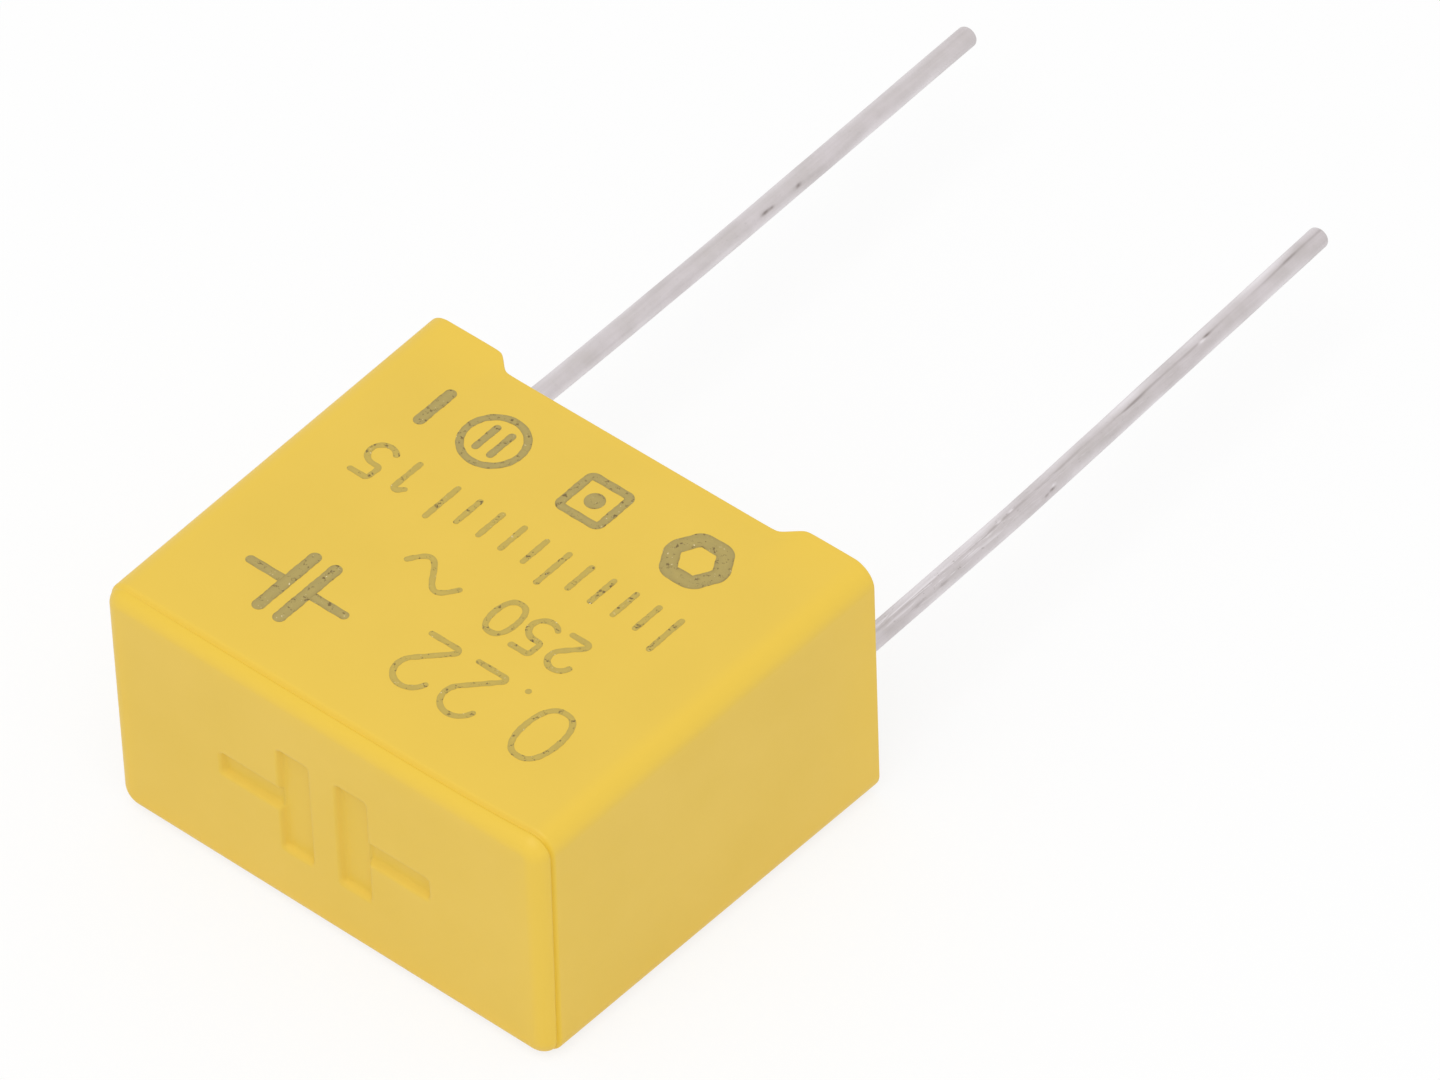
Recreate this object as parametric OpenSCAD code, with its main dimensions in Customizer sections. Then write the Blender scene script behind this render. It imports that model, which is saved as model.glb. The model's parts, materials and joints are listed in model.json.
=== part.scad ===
// Box-type film capacitor with two radial wire leads, lying on one of its broad walls.
// +X runs along the lead pitch, +Y points out along the leads and +Z is up.
// The origin is the centre of the broad wall that the case lies on.

/* [Leads] */
// Distance between the axes of the two leads at the seating plane
lead_pitch = 15; // [10:0.5:27.5]
// Diameter of the lead wire
lead_d = 0.75; // [0.6:0.05:1]
// Length of the left lead beyond the seating plane
lead_out = 24.35; // [18:0.05:40]
// How much shorter the right lead is cut than the left one
lead_short = 0.2; // [0.05:0.05:1]
// Length of each lead inside the case, measured from the seating plane
lead_in = 10.5; // [7:0.1:11]
// Distance of the leads below the mid-plane of the case
lead_drop = 0.3; // [0:0.05:0.8]
// Rounding of the cut ends of the wire
tip_r = 0.15; // [0.05:0.01:0.25]
// Angle by which both leads lean towards -X beyond the seating plane
lead_lean = 0.6; // [0.3:0.1:2]
// Straight stretch of the right lead between its lean and its bend
bend_from = 8; // [4:0.5:14]
// Angle by which the right lead leans further beyond its bend
bend_angle = 1.4; // [0.3:0.1:6]
// Radius of the bends in the leads, to the axis of the wire
bend_r = 20; // [10:1:60]
// Loss of wire radius in a bend, where the wire is stretched
bend_neck = 0.01; // [0.005:0.001:0.03]

/* [Case] */
// Height of the case from its closed top to the seating plane of its feet
case_h = 15.2; // [13:0.1:20]
// Thickness of the case at its open rim
case_t = 9.7; // [7.5:0.1:12]
// Thickness of the four side walls
wall = 0.8; // [0.6:0.05:1.1]
// Thickness of the closed top
top_wall = 1; // [0.7:0.05:1.5]
// Mould draft of the four side walls, in degrees
draft = 0.6; // [0.2:0.1:1.2]
// Outer radius of the four long edges
edge_r = 0.8; // [0.7:0.05:1.3]
// Inner radius of the four long edges
inner_r = 0.4; // [0.2:0.05:0.7]
// Clearance between the inner end of a lead and the end wall beside it
lead_gap = 0.22; // [0.1:0.01:0.6]

/* [Closed top] */
// Height of the crown on the closed top, beyond the parting step
crown_h = 0.45; // [0.3:0.05:0.55]
// Inset of the crown from the walls at the parting step
crown_step = 0.06; // [0.03:0.01:0.15]
// Radius of the arc that rounds the crown's edge
crown_r = 0.6; // [0.5:0.05:0.75]

/* [Feet] */
// Height of the end feet above the rim of the broad walls
foot_h = 0.6; // [0.3:0.05:1]
// Mean length of the feet along the broad walls, at the seating plane
foot_len = 2.87; // [2:0.01:4]
// Offset of the gap between the feet from the middle of the case, towards the right lead
gap_shift = 0.17; // [0.05:0.01:0.5]
// Slope of the foot flanks, in degrees from the rim
foot_flank = 45; // [30:1:75]

/* [Filling] */
// Depth of the resin surface below the rim of the broad walls
resin_drop = 0.4; // [0.1:0.05:0.8]
// Thickness of resin between its surface and the winding
resin_cover = 1.4; // [0.8:0.1:2.5]
// Height of the resin collar that climbs each lead
collar_h = 0.35; // [0.1:0.05:0.6]
// Width of the collar around the lead at the resin surface
collar_w = 0.45; // [0.2:0.05:0.6]
// Thickness of the collar's upper edge
collar_lip = 0.05; // [0.02:0.01:0.1]
// Clearance of the winding from the case walls and the closed top
roll_gap = 0.45; // [0.2:0.05:0.8]
// Thickness of the sprayed metal on each end of the winding
spray_t = 0.5; // [0.3:0.05:0.8]
// Width of bare winding left around the edge of the sprayed metal
spray_edge = 0.2; // [0.1:0.05:0.5]
// Depth to which the lead is sunk in the sprayed metal by its weld
weld_sink = 0.12; // [0.05:0.01:0.2]

/* [Hidden] */
// Fineness of round shapes
$fn = 48;
// Overshoot of the cutters, and the lap of a bend into the straight wire
cut = 1;
lap = 0.1;

lead_r = lead_d / 2;
lead_x = lead_pitch / 2;
taper = tan(draft);

// Stations along Y, from the closed top to the seating plane
y_seat = case_h / 2;
y_top = -case_h / 2;
y_step = y_top + crown_h;
y_floor = y_top + top_wall;
y_rim = y_seat - foot_h;
y_resin = y_rim - resin_drop;

// The case is as long as the leads, their clearance and the drafted end walls need
case_l = lead_pitch + lead_d + 2 * (lead_gap + wall + lead_in * taper);

// Half length and half thickness of the case at a station
function half_l(y) = case_l / 2 - (y_seat - y) * taper;
function half_t(y) = case_t / 2 - (y_seat - y) * taper;
z_mid = half_t(0);

// The winding fills the cavity up to its clearance and the resin cover
roll_y0 = y_floor + roll_gap;
roll_y1 = y_resin - resin_cover;
roll_t = 2 * (half_t(roll_y0) - wall - roll_gap);
spray_x = lead_x - lead_r + weld_sink;
roll_l = 2 * (spray_x - spray_t);

// Cutter that rounds one long edge, with its axis along the drafted edge
module edge_cutter(inset, r) {
    reach = 2 * case_h;
    block = r + cut;
    inward = inset + r / cos(draft);
    translate([half_l(y_seat) - inward, y_seat, half_t(y_seat) - inward])
        rotate([atan(sin(draft)) - 90, 0, -draft])
            translate([0, 0, -reach / 2])
                difference() {
                    translate([0, -block, 0]) cube([block, block, reach]);
                    translate([0, 0, -cut]) cylinder(r = r, h = reach + 2 * cut);
                }
}

// Drafted box from y0 to y1 about the mid-plane, inset from the outer walls, long edges rounded
module drafted_box(inset, y0, y1, r) {
    x0 = half_l(y0) - inset;
    x1 = half_l(y1) - inset;
    z0 = half_t(y0) - inset;
    z1 = half_t(y1) - inset;
    difference() {
        intersection() {
            linear_extrude(height = 2 * case_t, center = true)
                polygon([[-x0, y0], [x0, y0], [x1, y1], [-x1, y1]]);
            rotate([90, 0, 90])
                linear_extrude(height = 2 * case_l, center = true)
                    polygon([[y0, -z0], [y0, z0], [y1, z1], [y1, -z1]]);
        }
        for (mx = [0, 1], mz = [0, 1])
            mirror([mx, 0, 0]) mirror([0, 0, mz]) edge_cutter(inset, r);
    }
}

// Section of the crown's edge, outwards from a corner axis and upwards from the parting step
module crown_edge() {
    reach = edge_r - crown_step;
    run = sqrt(2 * crown_r * crown_h - crown_h * crown_h);
    translate([0, -crown_h]) square([reach, crown_h]);
    square([reach - run, crown_h]);
    intersection() {
        square([reach, crown_h]);
        translate([reach - run, crown_h - crown_r]) circle(crown_r);
    }
}

// Crown of the closed top: its edge is revolved at the four corners and drawn along the four sides
module crown() {
    core_x = round(1000 * (half_l(y_step) - edge_r)) / 1000;
    core_z = round(1000 * (half_t(y_step) - edge_r)) / 1000;
    translate([0, y_step, 0])
        rotate([90, 0, 0]) {
            translate([-core_x, -core_z, -crown_h]) cube([2 * core_x, 2 * core_z, 2 * crown_h]);
            for (mx = [0, 1], mz = [0, 1])
                mirror([mx, 0, 0]) mirror([0, mz, 0])
                    translate([core_x, core_z, 0]) rotate_extrude(angle = 90) crown_edge();
            for (mx = [0, 1])
                mirror([mx, 0, 0]) translate([core_x, core_z, 0])
                    rotate([90, 0, 0]) linear_extrude(height = 2 * core_z) crown_edge();
            for (mz = [0, 1])
                mirror([0, mz, 0]) translate([-core_x, core_z, 0])
                    rotate([90, 0, 90]) linear_extrude(height = 2 * core_x) crown_edge();
        }
}

// Gap in the rim of both broad walls that leaves a foot at each end
module rim_gap() {
    x_seat = case_l / 2 - foot_len;
    x_rim = x_seat - foot_h / tan(foot_flank);
    x_cut = x_seat + cut / tan(foot_flank);
    y_cut = y_seat + cut;
    translate([gap_shift, 0, 0])
        linear_extrude(height = 2 * case_t, center = true)
            polygon([[-x_rim, y_rim], [x_rim, y_rim], [x_cut, y_cut], [-x_cut, y_cut]]);
}

// Outline of the flattened roll along X, about the mid-plane, with round ends
module roll_outline(length, inset) {
    r = roll_t / 2 - inset;
    ya = roll_y0 + roll_t / 2;
    yb = roll_y1 - roll_t / 2;
    rotate([90, 0, 90])
        linear_extrude(height = length) {
            translate([ya, -r]) square([yb - ya, 2 * r]);
            translate([ya, 0]) circle(r);
            translate([yb, 0]) circle(r);
        }
}

// Straight wire along +Y from the origin, with its far end rounded
module wire(length) {
    rotate([-90, 0, 0])
        rotate_extrude() {
            square([lead_r - tip_r, length]);
            square([lead_r, length - tip_r]);
            translate([lead_r - tip_r, length - tip_r]) circle(tip_r);
        }
}

// Length of wire that a bend takes up, and the angle that a length takes up in a bend
function arc_len(angle) = bend_r * angle * PI / 180;
function arc_angle(length) = length / bend_r * 180 / PI;

// Bend towards -X about the origin, which laps into the straight wire at both ends
module bend(angle) {
    rotate([0, 0, -arc_angle(lap)])
        rotate_extrude(angle = angle + 2 * arc_angle(lap))
            translate([bend_r, 0]) circle(lead_r - bend_neck);
}

// Wire along +Y in straight legs, each [length, angle of the bend that follows it]
module bent_wire(legs, i = 0) {
    length = legs[i][0];
    angle = legs[i][1];
    if (i == len(legs) - 1) {
        wire(length);
    } else {
        rotate([-90, 0, 0]) cylinder(r = lead_r, h = length);
        translate([-bend_r, length, 0]) {
            bend(angle);
            rotate([0, 0, angle]) translate([bend_r, 0, 0]) bent_wire(legs, i + 1);
        }
    }
}

// One lead from its weld to its cut end, on the left (-1) or the right (1)
module lead_shape(side) {
    left_legs = [[lead_in, lead_lean], [lead_out - arc_len(lead_lean), 0]];
    right_legs = [
        [lead_in, lead_lean],
        [bend_from, bend_angle],
        [lead_out - lead_short - bend_from - arc_len(lead_lean + bend_angle), 0]
    ];
    translate([side * lead_x, y_seat - lead_in, -lead_drop]) bent_wire(side < 0 ? left_legs : right_legs);
}

// Sprayed metal on one end of the winding, grooved by the wire that is welded to it
module spray_shape(side) {
    difference() {
        translate([side > 0 ? roll_l / 2 : -spray_x, 0, 0]) roll_outline(spray_t, spray_edge);
        lead_shape(side);
    }
}

module roll_shape() {
    translate([-roll_l / 2, 0, 0]) roll_outline(roll_l, 0);
}

// Collar of resin that climbs a lead above the resin surface
module collar(side) {
    translate([side * lead_x, y_resin - collar_h, -lead_drop])
        rotate([-90, 0, 0]) {
            cylinder(r = lead_r + collar_w, h = collar_h);
            translate([0, 0, collar_h])
                cylinder(r1 = lead_r + collar_w, r2 = lead_r + collar_lip, h = collar_h);
        }
}

module case() {
    color("gold")
        translate([0, 0, z_mid])
            difference() {
                union() {
                    drafted_box(0, y_step, y_seat, edge_r);
                    crown();
                }
                drafted_box(wall, y_floor, y_seat + cut, inner_r);
                rim_gap();
            }
}

module potting_resin() {
    color("khaki")
        translate([0, 0, z_mid])
            difference() {
                intersection() {
                    drafted_box(wall, y_floor, y_seat + cut, inner_r);
                    union() {
                        translate([-case_l, y_floor - cut, -case_t])
                            cube([2 * case_l, y_resin - y_floor + cut, 2 * case_t]);
                        for (side = [-1, 1]) collar(side);
                    }
                }
                roll_shape();
                for (side = [-1, 1]) spray_shape(side);
                for (side = [-1, 1]) lead_shape(side);
            }
}

module film_winding() {
    color("gainsboro") translate([0, 0, z_mid]) roll_shape();
}

module end_spray_left() {
    color("slategray") translate([0, 0, z_mid]) spray_shape(-1);
}

module end_spray_right() {
    color("slategray") translate([0, 0, z_mid]) spray_shape(1);
}

module lead_left() {
    color("silver") translate([0, 0, z_mid]) lead_shape(-1);
}

module lead_right() {
    color("silver") translate([0, 0, z_mid]) lead_shape(1);
}

case();
potting_resin();
film_winding();
end_spray_left();
end_spray_right();
lead_left();
lead_right();
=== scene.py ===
"""Film capacitor: moulded case, tinned leads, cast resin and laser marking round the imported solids."""
import json
import math

import bpy
import numpy as np
from bpy.props import FloatProperty, FloatVectorProperty, PointerProperty
from bpy.types import NodeSocket, Operator, Panel, PropertyGroup
from mathutils import Matrix, Vector


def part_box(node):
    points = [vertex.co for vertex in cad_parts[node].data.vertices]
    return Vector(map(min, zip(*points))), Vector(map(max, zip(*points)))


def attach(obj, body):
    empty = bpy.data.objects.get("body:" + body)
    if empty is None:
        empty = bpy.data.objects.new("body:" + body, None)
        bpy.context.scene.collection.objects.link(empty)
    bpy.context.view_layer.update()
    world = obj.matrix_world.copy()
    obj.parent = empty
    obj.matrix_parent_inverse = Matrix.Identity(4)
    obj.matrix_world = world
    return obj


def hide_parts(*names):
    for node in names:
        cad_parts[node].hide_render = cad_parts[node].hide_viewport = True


bl_info = {
    "name": "Film capacitor",
    "version": (1, 0, 0),
    "blender": (4, 5, 0),
    "location": "3D View > Sidebar > Capacitor",
    "description": "Builds the looks of a box-type film capacitor round its packed solids",
    "category": "Object",
}

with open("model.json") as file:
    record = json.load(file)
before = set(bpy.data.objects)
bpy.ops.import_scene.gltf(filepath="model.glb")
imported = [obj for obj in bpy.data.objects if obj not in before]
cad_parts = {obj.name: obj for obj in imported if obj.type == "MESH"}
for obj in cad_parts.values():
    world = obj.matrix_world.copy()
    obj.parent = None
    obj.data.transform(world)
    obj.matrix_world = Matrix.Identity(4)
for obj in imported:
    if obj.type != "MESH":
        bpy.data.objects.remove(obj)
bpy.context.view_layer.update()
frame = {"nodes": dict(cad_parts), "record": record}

MM = 0.001
WHITE = (1.0, 1.0, 1.0)
SIDES = ("left", "right")
MOUNTS = {mount["name"]: mount for mount in frame["record"]["mounts"]}
CASE_LOW, CASE_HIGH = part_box("case")
ROLL_LOW, ROLL_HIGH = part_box("film_winding")
SPRAY_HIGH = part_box("end_spray_right")[1]

# The case tapers towards its closed top, which faces -Y; its rim and the leads face +Y.
Y_TOP, Y_SEAT = CASE_LOW.y, CASE_HIGH.y
Y_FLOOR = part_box("potting_resin")[0].y
Z_MID = (CASE_LOW.z + CASE_HIGH.z) / 2
HALF_L = (CASE_HIGH.x - CASE_LOW.x) / 2
HALF_T = (CASE_HIGH.z - CASE_LOW.z) / 2
TAPER = MOUNTS["rest_face"]["axis"][1] / MOUNTS["rest_face"]["axis"][2]
LEAD_R = MOUNTS["lead_left_wire"]["dims"]["r_mm"] * MM
Z_LEAD = MOUNTS["lead_left_wire"]["pos_m"][2]

# Steps of an outline along its long and its short sides and round half a corner
CASE_STEPS = (250, 124, 8)
RESIN_STEPS = (170, 84, 4)
# Rings of the case on the arc of the crown, through the groove and on each rounded edge of the rim
ARC_ROWS, GROOVE_ROWS, RIM_ROWS = 13, 24, 6
# Rings on the outer and the inner wall, as shares of the way from the wall's lower end to the rim
WALL_UP = np.array([0.004, 0.2, 0.4, 0.6, 0.8, 0.97, 0.995])
WALL_DOWN = np.array([0.99, 0.95, 0.9, 0.5, 0.02, 0.0])
# The groove's rows reach this many half widths to each side, and the crown's inset fades out at this rate
GROOVE_REACH, FADE_RATE = 2.2, 2.5
# Reach of the groove's fade and of the parting step's climb from a narrow wall, in half lengths, and the
# climb's mean and tilt
SIDE_REACH, CLIMB_MEAN, CLIMB_TILT = 0.2, 0.6, 0.4
# The band of an outer edge that has the full painted glow of light through the edge, the fall beyond it, and
# the turn from wall to wall
EDGE_BAND, EDGE_FALL, EDGE_TURN = 0.45 * MM, 0.35 * MM, 0.1 * MM
# Painted shade and caught light of the groove: half widths of the strong and the weak bell, and the strength
# of the weak one
STRONG_WIDTH, WEAK_WIDTH, WEAK_GLOW = 1.2, 2.5, 0.3
# The sunk sign: half width of a plate to the sign's height, of a stem to a plate, corner radius and soft edge
PLATE_SHARE, STEM_SHARE, SIGN_R, SIGN_EDGE = 0.14, 0.7, 0.1 * MM, 0.05 * MM

# Rings of a lead on each cut end, inside and outside the case, and steps round it
TIP_ROWS, INNER_ROWS, OUTER_ROWS, WIRE_STEPS = 9, 24, 300, 72
# The denser rings of a lead start this far inside the case, and its uneven tin fades in over this length
DENSE_FROM, TIN_FADE = 2 * MM, 0.2 * MM
# A leaning cut end is drawn back by this times its reach past the end of the centre line
TIP_ROOM = 1.02
# How sharply a line of wear starts and stops, per millimetre
LINE_ENDS = 12
# Steps round each half of the roll
ROLL_STEPS = 33

# Marking: corner radius in widths, step along a line in millimetres, rings on a rounded end and the angle at
# its tip
CORNER_R, LINE_STEP, END_ROWS, END_ANGLE = 0.6, 0.04, 7, 0.98 * math.pi / 2
# Corners whose half angle is above this, in radians, stay as they are; an arc takes the place of the others
BLUNT, CORNER_STEPS = 1.2, 17
# Width of a fine line in pens, room of a digit and of a point in heights, and the stems' thinner film
FINE_PEN, DIGIT_ROOM, POINT_ROOM, STEM_FILM = 0.8, 0.86, 0.42, 0.8
# Section of a marked line: places across and above its middle in half sizes, and nearness to its border
SECTION = np.array([(-1.0, 1, 1.0), (-0.75, 1, 0.3), (-0.25, 1, 0.0), (0.25, 1, 0.0), (0.75, 1, 0.3),
                    (1.0, 1, 1.0), (1.0, -1, 1.0), (-1.0, -1, 1.0)])


# Settings

def length(name, description, millimetres):
    """A length in metres, with its default given in millimetres."""
    return FloatProperty(name=name, description=description, default=millimetres * MM, min=0.0,
                         precision=5, unit="LENGTH", subtype="DISTANCE")


def share(name, description, default):
    """A plain number from 0 to 1."""
    return FloatProperty(name=name, description=description, default=default, min=0.0, max=1.0,
                         subtype="FACTOR")


def number(name, description, default):
    """A plain number without a unit."""
    return FloatProperty(name=name, description=description, default=default)


def turn(name, description, degrees):
    """An angle in radians, with its default given in degrees."""
    return FloatProperty(name=name, description=description, default=math.radians(degrees),
                         unit="ROTATION", subtype="ANGLE")


def tint(name, description, rgb):
    """A scene-linear colour."""
    return FloatVectorProperty(name=name, description=description, default=rgb, size=3, min=0.0, max=1.0,
                               subtype="COLOR")


class CAPACITOR_PG_case(PropertyGroup):
    """Sizes and finish of the moulded case."""
    wall: length("Wall", "Thickness of the four walls", 0.8)
    edge_r: length("Edge radius", "Rounding of the four long outer edges", 0.8)
    inner_r: length("Inner radius", "Rounding of the four long edges of the cavity", 0.4)
    crown_h: length("Crown height", "Height of the rounded edge of the closed top", 0.45)
    crown_r: length("Crown radius", "Radius of the rounded edge of the closed top", 0.6)
    step: length("Parting step", "How far the crown stands back behind the walls", 0.06)
    groove: length("Parting groove", "Half width of the soft groove on the narrow walls", 0.055)
    groove_d: length("Groove depth", "Depth of the groove at the parting step", 0.08)
    groove_wide: number("Groove spread", "How many times wider the groove is on the broad walls", 1.4)
    groove_fade: share("Groove fade", "Share of the groove's depth lost at the left narrow wall", 0.75)
    skew: length("Parting skew", "How far the parting step climbs towards the upper right long edge", 0.22)
    rim_r: length("Rim radius", "Rounding of the rim's edges", 0.05)
    foot_h: length("Foot height", "How far the end feet stand above the rim between them", 0.6)
    foot_l: length("Foot length", "Mean length of the feet along the lead pitch", 2.87)
    gap_shift: length("Gap offset", "Offset of the gap between the feet towards the right lead", 0.17)
    flank_r: length("Flank rounding", "Rounding where a foot's flank meets the rim", 0.12)
    emblem_l: length("Emblem length", "Length of the plate sign sunk into the closed top", 8.4)
    emblem_h: length("Emblem height", "Height of the plate sign sunk into the closed top", 4.2)
    emblem_d: length("Emblem depth", "Depth of the plate sign", 0.22)
    colour: tint("Plastic", "Colour of the flat walls", (0.80, 0.545, 0.066))
    # Painted glow of light shining through the rounded edges, laid over the plastic's colour near them
    edge_glow_colour: tint("Edges", "Colour of the edges, where light shines through", (0.825, 0.557, 0.059))
    # Painted shade with caught light in the parting groove, laid over the plastic's colour there
    groove_shade_colour: tint("Groove", "Colour in the groove, where light is caught", (0.80, 0.535, 0.022))
    roughness: share("Roughness", "Mean roughness of the plastic", 0.46)


class CAPACITOR_PG_leads(PropertyGroup):
    """Sizes and finish of the tinned wire leads."""
    tip_r: length("Tip radius", "Rounding of the cut ends", 0.15)
    bend: length("Bend", "Length over which a bend is rounded", 0.3)
    bow: length("Bow", "How far the left lead bows towards the other one", 0.11)
    uneven: length("Unevenness", "Height of the uneven places in the tin", 0.006)
    colour: tint("Tin", "Colour of the tinned surface", (0.655, 0.605, 0.62))
    shade: tint("Worn tin", "Colour of the worn streaks", (0.50, 0.455, 0.455))
    roughness: share("Roughness", "Mean roughness of the tin", 0.38)


class CAPACITOR_PG_resin(PropertyGroup):
    """Sizes and finish of the cast resin."""
    drop: length("Drop", "How far the resin lies below the rim between the feet", 0.4)
    collar_h: length("Collar height", "How far the resin climbs up a lead", 0.35)
    collar_w: length("Collar width", "Width of the resin collar round a lead", 0.45)
    climb: length("Wall climb", "How far the resin climbs up the walls", 0.12)
    reach: length("Wall reach", "How far from the walls the climb is felt", 0.3)
    ripple: length("Ripple", "Height of the slow waves in the cured surface", 0.015)
    gap: length("Clearance", "Distance kept from the case's inner walls", 0.002)
    colour: tint("Resin", "Colour of the cured resin", (0.60, 0.42, 0.12))
    shade: tint("Resin shade", "Colour of its darker clouds", (0.50, 0.33, 0.08))


class CAPACITOR_PG_marking(PropertyGroup):
    """Sizes and finish of the generic marking on the upper broad wall."""
    pen: length("Pen", "Width of a drawn line", 0.26)
    waver: length("Waver", "How far the sides of a line waver along it", 0.006)
    film: length("Film", "Thickness of the marked layer, half of it above the wall", 0.012)
    big: length("Large numerals", "Height of the large numerals", 2.2)
    small: length("Small numerals", "Height of the small numerals", 1.45)
    bold: tint("Bold marks", "Colour of the broad lines", (0.395, 0.305, 0.092))
    fine: tint("Fine marks", "Colour of the thin lines", (0.50, 0.365, 0.07))
    speck: tint("Specks", "Colour of the dark specks in the lines", (0.17, 0.115, 0.035))


class CAPACITOR_PG_stage(PropertyGroup):
    """Camera, floor and light."""
    azimuth: turn("Azimuth", "Direction of the camera round the part", 42.359)
    elevation: turn("Elevation", "Height of the camera above the horizon", 44.788)
    roll: turn("Roll", "Roll of the camera", -2.253)
    lens: number("Focal length", "Focal length in millimetres on a 36 mm sensor", 312.5)
    distance: length("Distance", "Distance from the camera to the middle of the picture", 384.69)
    across: length("Across", "How far the picture's middle lies right of the seating face's", 2.019)
    above: length("Above", "How far the picture's middle lies above the seating face's", 0.319)
    sky: number("Sky", "Strength of the even light from all round", 0.75)
    key: number("Key", "Power of the soft light overhead, in watts", 1.41)
    floor: tint("Floor", "Colour of the floor", (0.96, 0.96, 0.96))
    shading: share("Floor shading", "Share of the floor's shadows that is seen; the rest is white", 0.2)


class CAPACITOR_PG_all(PropertyGroup):
    """All the settings of the part."""
    case: PointerProperty(type=CAPACITOR_PG_case, name="Case", description="Moulded case")
    leads: PointerProperty(type=CAPACITOR_PG_leads, name="Leads", description="Tinned leads")
    resin: PointerProperty(type=CAPACITOR_PG_resin, name="Resin", description="Cast resin")
    marking: PointerProperty(type=CAPACITOR_PG_marking, name="Marking", description="Marking on the wall")
    stage: PointerProperty(type=CAPACITOR_PG_stage, name="Stage", description="Camera, floor and light")


# Surfaces: a body is an array of points with arrays of quads and of triangles

def ramp(t, rounding):
    """A rounded ramp, 0 below t = 0 and t above it: half the sum of t and the root of t squared plus the
    rounding squared."""
    return (t + np.sqrt(t * t + rounding * rounding)) / 2


def bell(t):
    """A bell, 1 at t = 0: the exponential of minus t squared."""
    return np.exp(-t * t)


def smooth_step(t):
    """A step from 0 to 1 at t = 0: 1 over 1 plus the exponential of minus t."""
    return 1 / (1 + np.exp(-t))


def outline(n_long, n_short, n_arc):
    """Places round a rounded rectangle, as four sides that run from corner middle to corner middle: half an
    arc, a straight and half an arc. Returns each place's corner centre as fractions of the half sizes, and
    its outward normal, both in (x, z)."""
    centres, normals = [], []
    arc = np.linspace(0, math.pi / 4, n_arc + 1)[1:]
    for heading, count in ((1.5, n_long), (0.0, n_short), (0.5, n_long), (1.0, n_short)):
        angle = heading * math.pi + np.concatenate([-arc[::-1], np.zeros(count + 1), arc])
        along = np.concatenate([-np.ones(n_arc), np.linspace(-1, 1, count + 1), np.ones(n_arc)])
        out = np.array([math.cos(heading * math.pi), math.sin(heading * math.pi)])
        side = np.array([-out[1], out[0]])
        centres.append((out + along[:, None] * side)[:-1])
        normals.append(np.stack([np.cos(angle), np.sin(angle)], -1)[:-1])
    return np.concatenate(centres), np.concatenate(normals)


def rounded(places, inset, radius):
    """The x and z of places round the case: a corner centre lies the inset plus the radius behind the walls
    at the seating face, and the normal times the radius is added to it."""
    centre, normal = places
    x = centre[:, 0] * (HALF_L - inset - radius) + normal[:, 0] * radius
    z = Z_MID + centre[:, 1] * (HALF_T - inset - radius) + normal[:, 1] * radius
    return x, z


def patch(ring, n_long, n_short, n_arc):
    """Grid that spans a ring of such places: opposite sides are blended in straight lines, the two blends are
    added and the blend of the four corners is taken away."""
    n_u, n_v = n_long + 2 * n_arc, n_short + 2 * n_arc
    loop = np.vstack([ring, ring[:1]])
    first = loop[:n_u + 1, None]
    second = loop[None, n_u:n_u + n_v + 1]
    third = loop[n_u + n_v:2 * n_u + n_v + 1][::-1][:, None]
    fourth = loop[2 * n_u + n_v:][::-1][None]
    u = np.linspace(0, 1, n_u + 1)[:, None, None]
    v = np.linspace(0, 1, n_v + 1)[None, :, None]
    corners = (1 - u) * ((1 - v) * first[0] + v * third[0]) + u * ((1 - v) * first[-1] + v * third[-1])
    return (1 - v) * first + v * third + (1 - u) * fourth + u * second - corners


def bands(rows):
    """Quads between each row of vertex numbers and the next, closed round the rows."""
    after = np.roll(rows, -1, axis=1)
    return np.stack([rows[:-1], rows[1:], after[1:], after[:-1]], -1).reshape(-1, 4)


def fan(row, pole):
    """Triangles that close a row of vertex numbers with one point."""
    return np.stack([row, np.full_like(row, pole), np.roll(row, -1)], -1)


def capped(rings, grid):
    """Closed body of a grid, the rings that go on from its border, and a point that closes the last ring."""
    n_u, n_v = grid.shape[:2]
    cell = np.arange(n_u * n_v).reshape(n_u, n_v)
    border = np.concatenate([cell[:-1, 0], cell[-1, :-1], cell[:0:-1, -1], cell[0, :0:-1]])
    rest = n_u * n_v + np.arange(rings[1:].size // 3).reshape(len(rings) - 1, -1)
    rows = np.vstack([border[None], rest])
    flat = np.stack([cell[:-1, :-1], cell[1:, :-1], cell[1:, 1:], cell[:-1, 1:]], -1).reshape(-1, 4)
    points = np.vstack([grid.reshape(-1, 3), rings[1:].reshape(-1, 3), rings[-1].mean(axis=0)[None]])
    return points, np.vstack([flat, bands(rows)]), fan(rows[-1], len(points) - 1)


def tube(rings):
    """Closed body of rings, each end closed with one point."""
    count = rings.shape[0] * rings.shape[1]
    rows = np.arange(count).reshape(rings.shape[:2])
    points = np.vstack([rings.reshape(-1, 3), rings[0].mean(axis=0)[None], rings[-1].mean(axis=0)[None]])
    ends = np.vstack([fan(rows[0], count)[:, ::-1], fan(rows[-1], count + 1)])
    return points, bands(rows), ends


def hoop(rings):
    """Closed body of rings whose last one joins the first."""
    rows = np.arange(rings.shape[0] * rings.shape[1]).reshape(rings.shape[:2])
    return rings.reshape(-1, 3), bands(np.vstack([rows, rows[:1]])), np.zeros((0, 3), int)


def joined(bodies):
    """One body of several, their vertex numbers moved on."""
    points, quads, tris, base = [], [], [], 0
    for body in bodies:
        points.append(body[0])
        quads.append(body[1] + base)
        tris.append(body[2] + base)
        base += len(body[0])
    return np.vstack(points), np.vstack(quads), np.vstack(tris)


def flipped(body):
    """The same body with its faces turned over."""
    points, quads, tris = body
    return points, quads[:, ::-1], tris[:, ::-1]


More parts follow.
